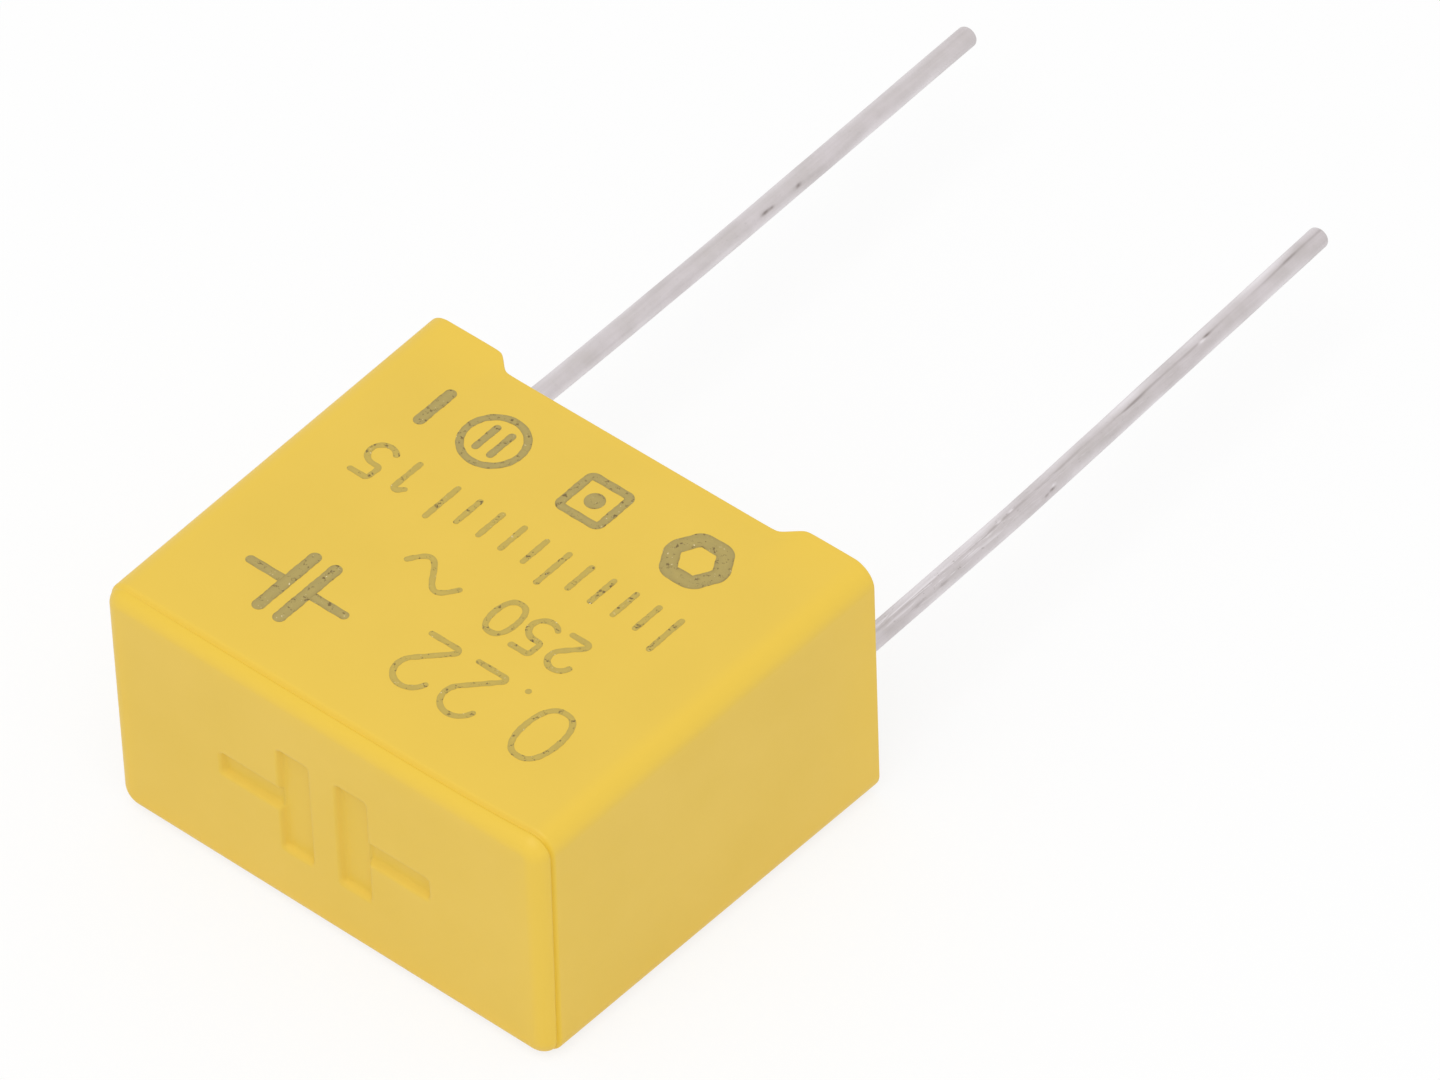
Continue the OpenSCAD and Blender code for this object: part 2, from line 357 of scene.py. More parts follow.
def add_piece(name, body, material, smooth=True, **values):
    """New mesh object at the origin that rides on the part. Further values have a number for each vertex."""
    points, quads, tris = body
    mesh = bpy.data.meshes.new(name)
    corners = np.concatenate([quads.ravel(), tris.ravel()]).astype(np.int32)
    starts = np.concatenate([np.arange(len(quads)) * 4, len(quads) * 4 + np.arange(len(tris)) * 3])
    mesh.vertices.add(len(points))
    mesh.vertices.foreach_set("co", points.astype(np.float32).ravel())
    mesh.loops.add(len(corners))
    mesh.loops.foreach_set("vertex_index", corners)
    mesh.polygons.add(len(starts))
    mesh.polygons.foreach_set("loop_start", starts.astype(np.int32))
    mesh.polygons.foreach_set("use_smooth", np.full(len(starts), smooth))
    for key, value in values.items():
        layer = mesh.attributes.new(key, "FLOAT", "POINT")
        layer.data.foreach_set("value", value.astype(np.float32).ravel())
    mesh.update(calc_edges=True)
    if mesh.validate():
        raise RuntimeError(f"{name} has faces that are not valid")
    mesh.materials.append(material)
    piece = bpy.data.objects.new(name, mesh)
    bpy.context.scene.collection.objects.link(piece)
    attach(piece, "root")
    return piece


# Materials

def feed(tree, value, socket):
    """Link an output to an input socket, or set the input to a number, a vector or a colour."""
    if isinstance(value, NodeSocket):
        tree.links.new(value, socket)
    else:
        socket.default_value = (*value, 1.0) if socket.type == "RGBA" else value


def fill(tree, node, values):
    """Feed a node's inputs by name; an underscore in a name stands for a space. Returns the node."""
    for key, value in values.items():
        feed(tree, value, node.inputs[key.replace("_", " ")])
    return node


def add_node(tree, kind, **values):
    """New node of the given type, with its inputs fed."""
    return fill(tree, tree.nodes.new(kind), values)


def math_node(tree, operation, first, second):
    """Math node on two sockets or numbers; returns its output."""
    node = tree.nodes.new("ShaderNodeMath")
    node.operation = operation
    feed(tree, first, node.inputs[0])
    feed(tree, second, node.inputs[1])
    return node.outputs[0]


def mix_colour(tree, factor, first, second, blend="MIX"):
    """Mix of two colours, each a socket or a colour; returns its output."""
    node = tree.nodes.new("ShaderNodeMix")
    node.data_type = "RGBA"
    node.blend_type = blend
    for index, value in ((0, factor), (6, first), (7, second)):
        feed(tree, value, node.inputs[index])
    return node.outputs[2]


def span(tree, value, low, high, start=0.0, stop=1.0):
    """The value carried from start..stop to low..high; returns the output."""
    node = add_node(tree, "ShaderNodeMapRange", Value=value, From_Min=start, From_Max=stop, To_Min=low,
                    To_Max=high)
    return node.outputs["Result"]


def noise(tree, place, scale, detail, roughness):
    """Noise at a place; returns its value."""
    node = add_node(tree, "ShaderNodeTexNoise", Vector=place, Scale=scale, Detail=detail, Roughness=roughness)
    return node.outputs["Fac"]


def stretched(tree, vector, *scale):
    """The vector scaled on its three axes; returns the output."""
    return add_node(tree, "ShaderNodeMapping", Vector=vector, Scale=scale).outputs["Vector"]


def attribute(tree, name):
    """The piece's own number of that name at each vertex; returns the output."""
    node = tree.nodes.new("ShaderNodeAttribute")
    node.attribute_name = name
    return node.outputs["Fac"]


def toned(colour, factor):
    """The colour times a factor."""
    return tuple(factor * channel for channel in colour)


def new_group(name, inputs, outputs):
    """Node group with the given sockets, each a label and a kind; returns it, its inputs and its end node."""
    tree = bpy.data.node_groups.new(name, "ShaderNodeTree")
    for way, sockets in (("INPUT", inputs), ("OUTPUT", outputs)):
        for label, kind in sockets.items():
            tree.interface.new_socket(label, in_out=way, socket_type=f"NodeSocket{kind}")
    return tree, tree.nodes.new("NodeGroupInput").outputs, tree.nodes.new("NodeGroupOutput")


def mottle_group(name):
    """Node group: soft clouds from one colour to another, their mask, and a finer grain as a height."""
    tree, given, end = new_group(
        name, {"Vector": "Vector", "Base": "Color", "Tint": "Color", "Scale": "Float", "Grain": "Float"},
        {"Color": "Color", "Mask": "Float", "Height": "Float"})
    cloud = noise(tree, given["Vector"], given["Scale"], detail=4.0, roughness=0.55)
    grain = noise(tree, given["Vector"], given["Grain"], detail=2.0, roughness=0.6)
    mask = span(tree, cloud, 0.0, 1.0, start=0.32, stop=0.68)
    colour = mix_colour(tree, mask, given["Base"], given["Tint"])
    fill(tree, end, {"Color": colour, "Mask": mask, "Height": grain})
    return tree


def speckle_group(name):
    """Node group: a mask of small uneven specks; a higher cover gives more of them."""
    tree, given, end = new_group(name, {"Vector": "Vector", "Scale": "Float", "Cover": "Float"},
                                 {"Mask": "Float"})
    uneven = noise(tree, given["Vector"], given["Scale"], detail=3.0, roughness=0.7)
    lifted = math_node(tree, "ADD", uneven, given["Cover"])
    fill(tree, end, {"Mask": span(tree, lifted, 0.0, 1.0, start=0.97, stop=1.05)})
    return tree


GROUPS = {"Mottle": mottle_group, "Speckle": speckle_group}


def use_group(tree, name, **values):
    """Node of the named group, which is built at its first use, with its inputs fed; returns its outputs."""
    node = tree.nodes.new("ShaderNodeGroup")
    node.node_tree = bpy.data.node_groups.get(name) or GROUPS[name](name)
    return fill(tree, node, values).outputs


def new_material(name, **values):
    """Material with a Principled shader; returns it, its tree, the shader and the object coordinates."""
    material = bpy.data.materials.new(name)
    material.use_nodes = True
    tree = material.node_tree
    shader = fill(tree, tree.nodes["Principled BSDF"], values)
    return material, tree, shader, tree.nodes.new("ShaderNodeTexCoord").outputs["Object"]


def dress(tree, shader, colour, rough, relief):
    """Give a shader its colour, its roughness as a mask and the values at 0 and 1, and its fine relief as a
    height, a strength and a distance in millimetres."""
    height, strength, distance = relief
    bump = add_node(tree, "ShaderNodeBump", Height=height, Strength=strength, Distance=distance * MM)
    fill(tree, shader, {"Base Color": colour, "Roughness": span(tree, *rough),
                        "Normal": bump.outputs["Normal"]})


def show_white(tree, lit, white_kind, factor, end):
    """Mix a shader with plain white by the factor, for rays of the camera, of reflections and of transmission
    alone, and put the mix out as the surface."""
    rays = tree.nodes.new("ShaderNodeLightPath").outputs
    direct = math_node(tree, "MAXIMUM", rays["Is Camera Ray"], rays["Is Glossy Ray"])
    direct = math_node(tree, "MAXIMUM", direct, rays["Is Transmission Ray"])
    white = add_node(tree, white_kind, Color=WHITE, Strength=1.0).outputs[0]
    mixed = tree.nodes.new("ShaderNodeMixShader")
    for socket, value in zip(mixed.inputs, (math_node(tree, "MULTIPLY", direct, factor), lit, white)):
        feed(tree, value, socket)
    fill(tree, tree.nodes[end], {"Surface": mixed.outputs["Shader"]})


def plastic_material(case):
    """Satin yellow plastic with faint clouds, a fine grain, a painted glow of light through its edges, and
    painted shade with caught light in its groove.
    """
    material, tree, shader, place = new_material("Moulded plastic", Specular_IOR_Level=0.42)
    clouds = use_group(tree, "Mottle", Vector=place, Base=case.colour, Tint=toned(case.colour, 0.975),
                       Scale=300.0, Grain=7000.0)
    # The edge attribute paints a glow of light shining through the rounded edges into the colour
    colour = mix_colour(tree, attribute(tree, "edge"), clouds["Color"], case.edge_glow_colour)
    # The groove attribute paints shade and caught light into the groove and, weakly, onto the crown beside it
    colour = mix_colour(tree, attribute(tree, "groove"), colour, case.groove_shade_colour)
    rough = (clouds["Mask"], case.roughness - 0.04, case.roughness + 0.04)
    dress(tree, shader, colour, rough, (clouds["Height"], 0.12, 0.004))
    return material


def tin_material(leads):
    """Dull tin: lengthwise streaks, soft patches, wear with painted highlight, reflection and shade bands,
    and scuffs from the wire's own attributes.
    """
    material, tree, shader, place = new_material("Tinned wire", Metallic=1.0)
    streaks = use_group(tree, "Mottle", Vector=stretched(tree, place, 1.0, 0.035, 1.0), Scale=7000.0,
                        Grain=16000.0)
    clouds = use_group(tree, "Mottle", Vector=place, Base=WHITE, Tint=(0.88, 0.885, 0.86), Scale=900.0,
                       Grain=20000.0)
    calm = mix_colour(tree, span(tree, streaks["Mask"], 0.0, 0.35), leads.colour, leads.shade)
    tin = mix_colour(tree, 1.0, calm, clouds["Color"], "MULTIPLY")
    wear, scuff = attribute(tree, "wear"), attribute(tree, "scuff")
    scratches = use_group(tree, "Speckle", Vector=stretched(tree, place, 1.0, 0.06, 1.0), Scale=14000.0,
                          Cover=0.42)
    pits = use_group(tree, "Speckle", Vector=stretched(tree, place, 1.0, 0.6, 1.0), Scale=9000.0, Cover=0.37)
    # The wear attribute darkens the tin below zero and lightens it above: in nicks and short scratches as
    # wear, in the long bands round the wire as painted highlight, painted reflection and painted shade
    dark = math_node(tree, "MAXIMUM", math_node(tree, "MULTIPLY", wear, -1.0),
                     math_node(tree, "MULTIPLY", pits["Mask"], scuff))
    light = math_node(tree, "MAXIMUM", wear, math_node(tree, "MULTIPLY", scratches["Mask"], scuff))
    colour = mix_colour(tree, dark, tin, (0.26, 0.225, 0.215))
    colour = mix_colour(tree, light, colour, (0.82, 0.78, 0.80))
    rough = (clouds["Mask"], leads.roughness - 0.08, leads.roughness + 0.08)
    dress(tree, shader, colour, rough, (streaks["Height"], 0.25, 0.006))
    return material


def resin_material(resin):
    """Cast resin: cloudy, a little glossy, with a fine skin."""
    material, tree, shader, place = new_material("Cast resin")
    clouds = use_group(tree, "Mottle", Vector=place, Base=resin.colour, Tint=resin.shade, Scale=420.0,
                       Grain=5000.0)
    dress(tree, shader, clouds["Color"], (clouds["Mask"], 0.24, 0.36), (clouds["Height"], 0.1, 0.006))
    return material


def mark_material(name, base, speck, rim):
    """Laser-marked plastic: uneven grey brown, unevenly darker along the borders of the lines, with sparse
    dark specks and a few bright ones."""
    material, tree, shader, place = new_material(name)
    clouds = use_group(tree, "Mottle", Vector=place, Base=base, Tint=toned(base, 1.12), Scale=2500.0,
                       Grain=14000.0)
    dark = use_group(tree, "Speckle", Vector=place, Scale=5500.0, Cover=0.39)
    bright = use_group(tree, "Speckle", Vector=stretched(tree, place, 1.0, 1.0, 0.5), Scale=7500.0,
                       Cover=0.32)
    border = math_node(tree, "MULTIPLY", attribute(tree, "border"), span(tree, clouds["Mask"], 0.0, rim))
    colour = mix_colour(tree, border, clouds["Color"], speck)
    colour = mix_colour(tree, dark["Mask"], colour, speck)
    colour = mix_colour(tree, bright["Mask"], colour, (0.80, 0.68, 0.40))
    dress(tree, shader, colour, (clouds["Mask"], 0.6, 0.75), (clouds["Height"], 0.2, 0.006))
    return material


def film_material():
    """Metallised film on edge: fine wavering lines across the roll's thickness."""
    material, tree, shader, place = new_material("Metallised film", Metallic=0.5)
    lines = use_group(tree, "Mottle", Vector=stretched(tree, place, 0.02, 1.0, 1.0), Base=(0.62, 0.63, 0.64),
                      Tint=(0.40, 0.41, 0.43), Scale=9000.0, Grain=20000.0)
    dress(tree, shader, lines["Color"], (lines["Mask"], 0.22, 0.4), (lines["Height"], 0.2, 0.01))
    return material


def spray_material():
    """Sprayed metal: dull grey grains with dark pits."""
    material, tree, shader, place = new_material("Sprayed metal", Metallic=0.9)
    grains = use_group(tree, "Mottle", Vector=place, Base=(0.46, 0.46, 0.47), Tint=(0.32, 0.32, 0.33),
                       Scale=5000.0, Grain=9000.0)
    pits = use_group(tree, "Speckle", Vector=place, Scale=7000.0, Cover=0.42)
    colour = mix_colour(tree, pits["Mask"], grains["Color"], (0.15, 0.15, 0.16))
    dress(tree, shader, colour, (grains["Mask"], 0.55, 0.75), (grains["Height"], 0.6, 0.03))
    return material


def floor_material(stage):
    """Plain pale floor, a little uneven in tone, whose shadows are softened with white where it is seen."""
    material, tree, shader, place = new_material("Pale floor", Roughness=1.0, Specular_IOR_Level=0.0)
    clouds = use_group(tree, "Mottle", Vector=place, Base=stage.floor, Tint=toned(stage.floor, 0.995),
                       Scale=20.0, Grain=400.0)
    fill(tree, shader, {"Base Color": clouds["Color"]})
    show_white(tree, shader.outputs["BSDF"], "ShaderNodeEmission", 1.0 - stage.shading, "Material Output")
    return material


# Forms

def rim_height(x, case):
    """Height of the rim along the case: the rim between the feet, raised by a flank of 45 degrees to the
    seating face. The flank is the difference of two rounded ramps, one foot height apart."""
    start = HALF_L - case.foot_l - case.foot_h
    t = np.abs(x - case.gap_shift) - start
    return Y_SEAT - case.foot_h + ramp(t, case.flank_r) - ramp(t - case.foot_h, case.flank_r)


def plate_sign(x, z, case):
    """1 inside a sunk sign of two upright plates with a stem each, 0 outside. Each bar is a rectangle with
    rounded corners, known by its distance; the nearest bar counts, and the edge is a smooth step."""
    plate = PLATE_SHARE * case.emblem_h
    stem = (case.emblem_l / 2 - plate) / 2
    nearest = np.full(x.shape, 1.0)
    for centre, half_x, half_z in ((2 * plate, plate, case.emblem_h / 2),
                                   (2 * plate + stem, stem - plate, STEM_SHARE * plate)):
        over_x = np.abs(np.abs(x) - centre) - half_x + SIGN_R
        over_z = np.abs(z) - half_z + SIGN_R
        outside = np.hypot(np.maximum(over_x, 0), np.maximum(over_z, 0)) - SIGN_R
        nearest = np.minimum(nearest, outside + np.minimum(np.maximum(over_x, over_z), 0))
    return 0.5 - 0.5 * np.tanh(nearest / SIGN_EDGE)


# This nearness carries the painted glow of light through the edges into the plastic's colour
def edge_nearness(points):
    """1 in a band along the outer edges of the case, falling off exponentially beyond it: the second smallest
    of a point's distances to the end walls, the broad walls, the closed top and the rim says how near an
    edge it lies."""
    lean = (Y_SEAT - points[:, 1]) * TAPER
    away = np.stack([HALF_L - lean - np.abs(points[:, 0]), HALF_T - lean - np.abs(points[:, 2] - Z_MID),
                     points[:, 1] - Y_TOP, Y_SEAT - points[:, 1]], -1)
    second = np.sort(away, axis=1)[:, 1]
    return np.exp(-np.maximum(second - EDGE_BAND, 0) / EDGE_FALL)


def parting_line(x, z, case):
    """Height y of the parting step round the case: the crown's height, plus a climb that falls off
    exponentially with the distance from the right narrow wall and grows evenly from the lower to the upper
    broad wall."""
    climb = np.exp((x / HALF_L - 1) / SIDE_REACH) * (CLIMB_MEAN + CLIMB_TILT * (z - Z_MID) / HALF_T)
    return Y_TOP + case.crown_h + case.skew * climb


# These bells place the painted shade and caught light of the groove in the plastic's colour
def groove_nearness(points, case):
    """Bell over the width of the groove at the parting step on the right narrow wall, and elsewhere a wide,
    weak bell on the crown beside the groove; a smooth step at the long edges leads from one to the other."""
    t = (points[:, 1] - parting_line(points[:, 0], points[:, 2], case)) / case.groove
    side = smooth_step((points[:, 0] - HALF_L + EDGE_BAND) / EDGE_TURN)
    return bell(t / STRONG_WIDTH) * side + WEAK_GLOW * bell(t / WEAK_WIDTH + 1) * (1 - side)


def crown_inset(y, case):
    """How far the crown's arc stands behind the walls at a height y: the inset of the arc's centre, less the
    root of the radius squared minus the height from that centre squared."""
    run = math.sqrt(case.crown_h * (2 * case.crown_r - case.crown_h))
    above = y - Y_TOP - case.crown_r
    return case.step + run - np.sqrt(np.maximum(case.crown_r ** 2 - above * above, 0))


def crown_rows(places, case):
    """Heights and insets of the rings on the crown: its arc, and the soft groove at the parting step. In the
    groove the crown's inset fades out as a smooth step, and a bell is added, both of them wider on the broad
    walls; the bell's depth falls off exponentially towards the left narrow wall."""
    x, z = rounded(places, (Y_SEAT - Y_TOP - case.crown_h) * TAPER, case.edge_r)
    depth = case.groove_d * (1 - case.groove_fade * np.exp(-(x / HALF_L + 1) / SIDE_REACH))
    spread = 1 + (case.groove_wide - 1) * places[1][:, 1] ** 2
    t = np.linspace(-GROOVE_REACH, GROOVE_REACH, GROOVE_ROWS)[:, None] * case.groove_wide
    groove_y = parting_line(x, z, case) + t * case.groove
    fade = 0.5 - 0.5 * np.tanh(FADE_RATE * t / spread)
    groove_in = crown_inset(groove_y, case) * fade + depth * bell(t / spread)
    arc_end = np.arcsin(1 - (groove_y[0] - Y_TOP) / case.crown_r)
    arc = np.linspace(math.pi / 2, arc_end, ARC_ROWS, endpoint=False)
    arc_y = Y_TOP + case.crown_r * (1 - np.sin(arc))
    return np.vstack([arc_y, groove_y]), np.vstack([crown_inset(arc_y, case), groove_in])


def wall_rows(places, y_start, case):
    """Heights, insets and corner radii of the rings from the groove up the outer wall, over the rim and down
    the inner wall to the floor. A wall's heights are shares of the way from its lower end to the rim, which
    rises at the feet. The rim's edges are quarter circles, and the corner radius goes evenly from the outer
    to the inner one."""
    corner = np.linspace(0, math.pi / 2, RIM_ROWS)
    edge_in = case.rim_r * (1 - np.cos(corner))
    edge_drop = case.rim_r * (1 - np.sin(corner))
    risen = np.concatenate([WALL_UP, np.ones(2 * RIM_ROWS), WALL_DOWN])[:, None]
    inset = np.concatenate([0 * WALL_UP, edge_in, case.wall - edge_in[::-1], case.wall + 0 * WALL_DOWN])
    drop = np.concatenate([case.rim_r + 0 * WALL_UP, edge_drop, edge_drop[::-1], case.rim_r + 0 * WALL_DOWN])
    inset, drop = inset[:, None], drop[:, None]
    radius = case.edge_r - (case.edge_r - case.inner_r) / case.wall * inset
    x_seat = rounded(places, inset, radius)[0]
    lower_end = np.where(np.arange(len(risen))[:, None] < len(WALL_UP), y_start, Y_FLOOR)
    y = (1 - risen) * lower_end + risen * (rim_height(x_seat, case) - drop)
    return y, inset + 0 * y, radius + 0 * y


def case_form(case):
    """The case as one surface. Rings of a rounded rectangle follow the profile of the crown, the groove, the
    drafted outer wall, the rim and the inner wall. Each ring's half sizes are the wall's less the taper and
    the inset. A grid with the sunk sign closes the crown, and one point closes the floor of the cavity."""
    places = outline(*CASE_STEPS)
    crown_y, crown_in = crown_rows(places, case)
    wall_y, wall_in, wall_radius = wall_rows(places, crown_y[-1], case)
    y = np.vstack([crown_y, wall_y])
    lean = (Y_SEAT - np.maximum(y, Y_TOP + case.crown_h)) * TAPER
    radius = np.vstack([case.edge_r - crown_in, wall_radius])
    x, z = rounded(places, lean + np.vstack([crown_in, wall_in]), radius)
    rings = np.stack([x, y, z], -1)
    grid = patch(rings[0], *CASE_STEPS)
    grid[..., 1] += case.emblem_d * plate_sign(grid[..., 0], grid[..., 2] - Z_MID, case)
    return capped(rings, grid)


def centre_line(side):
    """Bends of a lead's centre line in the plane of the leads: its x inside the case, for each bend its y and
    its change of slope, and the y of both ends. Both leads lean alike where they leave the case; the outer
    stretch of each is the line of its wire mount, and the last bend lies where the two lines cross."""
    low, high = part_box(f"lead_{side}")
    inside = high.x - LEAD_R
    first = MOUNTS["lead_left_wire"]
    lean = first["axis"][0] / first["axis"][1]
    left_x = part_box("lead_left")[1].x - LEAD_R
    y_first = first["pos_m"][1] + (left_x - first["pos_m"][0]) / lean
    bends = [(y_first, lean)]
    mount = MOUNTS[f"lead_{side}_wire"]
    slope = mount["axis"][0] / mount["axis"][1]
    if abs(slope - lean) > 1e-6:
        offset = mount["pos_m"][0] - slope * mount["pos_m"][1]
        bends.append(((inside - lean * y_first - offset) / (slope - lean), slope - lean))
    return inside, bends, low.y, high.y


def turn_bell(angle, heading, half_turn):
    """Bell round a wire, 1 at a heading and falling over a half turn, both in degrees."""
    around = (angle - np.radians(heading) + math.pi) % (2 * math.pi) - math.pi
    return bell(around / math.radians(half_turn))


def wire_rows(y_start, y_end, tip_r):
    """Heights of a lead's rings from one end to the other, denser outside the case, and how much thinner than
    the wire each one is: the cut ends are quarter circles."""
    corner = np.linspace(0, math.pi / 2, TIP_ROWS)
    cut = tip_r * (1 - np.sin(corner))
    thin = tip_r * (1 - np.cos(corner))
    body = np.concatenate([np.linspace(y_start + tip_r, Y_SEAT - DENSE_FROM, INNER_ROWS)[1:],
                           np.linspace(Y_SEAT - DENSE_FROM, y_end - tip_r, OUTER_ROWS)[1:-1]])
    y = np.concatenate([(y_start + cut)[::-1], body, y_end - cut])
    less = np.concatenate([thin[::-1], 0 * body, thin])
    return y[:, None], less[:, None]


def wire_wear(t, angle, nicks, lines, scuffs):
    """Dents in millimetres, wear with painted sheen, and scuffs of a wire, at heights t in millimetres and
    angles round it. A nick is a bell along and round the wire, which adds to the dents and to the wear. A
    line is a bell round the wire that wanders along it, starts and stops with a smooth step and is broken up
    by two slow waves;
    the short lines are scratches, and the lines that run the whole wire are painted bands of highlight,
    reflection and shade. A scuffed place is a bell along and round the wire."""
    out = t - Y_SEAT / MM
    dent = wear = scuff = 0 * (t + angle)
    for place, heading, depth, reach, half_turn, tone in nicks:
        hit = bell((out - place) / reach) * turn_bell(angle, heading, half_turn)
        dent = dent + depth * hit
        wear = wear + tone * hit
    for strength, heading, half_turn, start, stop, wander in lines:
        run = smooth_step((out - start) * LINE_ENDS) * smooth_step((stop - out) * LINE_ENDS)
        broken = 0.75 + 0.5 * np.sin(1.3 * t + heading) * np.sin(0.47 * t + 2 * heading) if wander else 1.0
        path = heading + wander * (np.sin(0.45 * t) + 0.5 * np.sin(1.7 * t))
        wear = wear + strength * run * broken * turn_bell(angle, path, half_turn)
    for strength, heading, half_turn, place, reach in scuffs:
        scuff = scuff + strength * bell((out - place) / reach) * turn_bell(angle, heading, half_turn)
    return dent, wear, scuff


def wire_form(side, leads, nicks, lines, scuffs):
    """A lead as a tube. Its centre line is a sum of rounded ramps, one for each bend, and on the left a
    slight bow: the way out times the 1.5th power of the way left, scaled to the bow at its peak, two fifths
    of the way out. Its radius shrinks at the cut ends, waves slightly in the tin with three sines round and
    along the wire, and dips in each nick. Its wear with the painted highlight, reflection and shade bands,
    and its scuffs, come back beside the form, for each vertex."""
    inside, bends, y_start, y_end = centre_line(side)
    y_end -= TIP_ROOM * (LEAD_R - leads.tip_r) * abs(sum(change for _, change in bends))
    y, less = wire_rows(y_start, y_end, leads.tip_r)
    t = y / MM
    angle = np.linspace(0, 2 * math.pi, WIRE_STEPS, endpoint=False)[None]
    dent, wear, scuff = wire_wear(t, angle, nicks, lines, scuffs)
    wave = np.sin(2 * angle + 0.31 * t) + np.sin(3 * angle - 0.83 * t + 1)
    wave = wave + 0.7 * np.sin(5 * angle + 1.9 * t + 2)
    free = smooth_step((y - Y_SEAT) / TIN_FADE)
    radius = LEAD_R - less + leads.uneven * free * (0.3 * wave - 0.8) - dent * MM
    way = np.clip((y - bends[0][0]) / (y_end - bends[0][0]), 0, 1)
    bow = leads.bow if side == "left" else 0.0
    x = inside + bow * way * (1 - way) ** 1.5 / (0.4 * 0.6 ** 1.5)
    for place, change in bends:
        x = x + change * ramp(y - place, leads.bend)
    slope = np.gradient(x[:, 0], y[:, 0])[:, None]
    across = radius * np.cos(angle) / np.hypot(1, slope)
    rings = np.stack([x + across, y - across * slope, Z_LEAD + radius * np.sin(angle)], -1)
    return tube(rings), *(np.append(value.ravel(), [0.0, 0.0]) for value in (wear, scuff))


def resin_form(resin, case):
    """The resin as one surface: a grid over the open side whose height is the level, plus a climb that fades
    from the walls, plus a squared cone round each lead and slow waves, which both die out at the walls. Its
    border goes down the cavity walls to the floor. Inside it, turned over, is the room of the roll and its
    two end layers."""
    places = outline(*RESIN_STEPS)
    level = Y_SEAT - case.foot_h - resin.drop
    y = np.array([level + resin.climb, level, 0.5 * (level + Y_FLOOR), Y_FLOOR + resin.gap])[:, None]
    inset = case.wall + resin.gap + (Y_SEAT - y) * TAPER
    x, z = rounded(places, inset, case.inner_r)
    rings = np.stack([x, y + 0 * x, z], -1)
    grid = patch(rings[0], *RESIN_STEPS)
    gx, gz = grid[..., 0], grid[..., 2] - Z_MID
    wall = np.minimum(HALF_L - inset[0] - np.abs(gx), HALF_T - inset[0] - np.abs(gz))
    far = np.maximum(wall, 0) / resin.reach
    still = 1 - bell(far)
    wave = np.sin(gx / (1.9 * MM) + 0.4) * np.cos(gz / (1.4 * MM) + 0.9)
    wave = wave + 0.6 * np.sin((gx - 1.3 * gz) / (1.1 * MM))
    height = resin.climb * np.exp(-far) + resin.ripple * wave * still
    for side in SIDES:
        around = np.hypot(gx - centre_line(side)[0], grid[..., 2] - Z_LEAD) - LEAD_R
        height = height + resin.collar_h * np.clip(1 - around / resin.collar_w, 0, 1) ** 2 * still
    grid[..., 1] = level + height
    return joined([flipped(capped(rings, grid)), roll_room()])


def roll_room():
    """Room of the flattened roll and its end layers, facing inwards: rings of a stadium outline along X that
    step in by the end layers' inset."""
    half_z = (ROLL_HIGH.z - ROLL_LOW.z) / 2
    half_y = (ROLL_HIGH.y - ROLL_LOW.y) / 2 - half_z
    y_mid = (ROLL_HIGH.y + ROLL_LOW.y) / 2
    inset = ROLL_HIGH.z - SPRAY_HIGH.z
    angle = np.linspace(-math.pi / 2, math.pi / 2, ROLL_STEPS)
    angle = np.concatenate([angle, angle + math.pi])
    shift = np.repeat([half_y, -half_y], ROLL_STEPS)
    end, edge = SPRAY_HIGH.x, ROLL_HIGH.x
    x = np.array([-end, -edge, -edge, edge, edge, end])[:, None]
    radius = half_z - np.array([inset, inset, 0, 0, inset, inset])[:, None]
    y = y_mid + shift + radius * np.cos(angle)
    return tube(np.stack([x + 0 * y, y, Z_MID + radius * np.sin(angle)], -1))


# Marking: paths are drawn in (p, q), p along the reading direction and q upwards, in millimetres.
# A stroke is a path, whether it closes, and its width in pens.

def arc_path(p, q, radius_p, radius_q, start, stop, count=33):
    """Points on an ellipse between two angles in degrees."""
    angle = np.radians(np.linspace(start, stop, count))
    return np.stack([p + radius_p * np.cos(angle), q + radius_q * np.sin(angle)], -1)


def dash(p, q, p_end, q_end, wide):
    """Straight open stroke from one point to another."""
    return np.array([(p, q), (p_end, q_end)]), False, wide


def numeral_paths():
    """Paths of the plain numerals for a height of 1, from their lower left corner. The zero is an ellipse
    whose cosine and sine are raised to powers a little below 1, with their signs kept."""
    angle = np.radians(np.linspace(0, 360, 64, endpoint=False))
    cosine, sine = np.cos(angle), np.sin(angle)
    zero_p = 0.3 + 0.3 * np.sign(cosine) * np.abs(cosine) ** 0.8
    zero_q = 0.5 + 0.5 * np.sign(sine) * np.abs(sine) ** 0.9
    return {
        "0": np.stack([zero_p, zero_q], -1),
        "1": np.array([(0.1, 0.76), (0.34, 1.0), (0.34, 0.0)]),
        "2": np.vstack([arc_path(0.3, 0.71, 0.29, 0.29, 165, -38), [(0.0, 0.0), (0.6, 0.0)]]),
        "5": np.vstack([[(0.56, 1.0), (0.1, 1.0), (0.08, 0.6)], arc_path(0.29, 0.3, 0.31, 0.3, 90, -140)]),
        ".": np.array([(0.12, 0.0), (0.121, 0.001)]),
    }


def numerals(text, p, q, height):
    """Strokes of a row of numerals whose lower left corner is at (p, q); a point takes less room."""
    paths = numeral_paths()
    strokes = []
    for digit in text:
        strokes.append((paths[digit] * height + (p, q), digit == "0", FINE_PEN))
        p += height * (POINT_ROOM if digit == "." else DIGIT_ROOM)
    return strokes


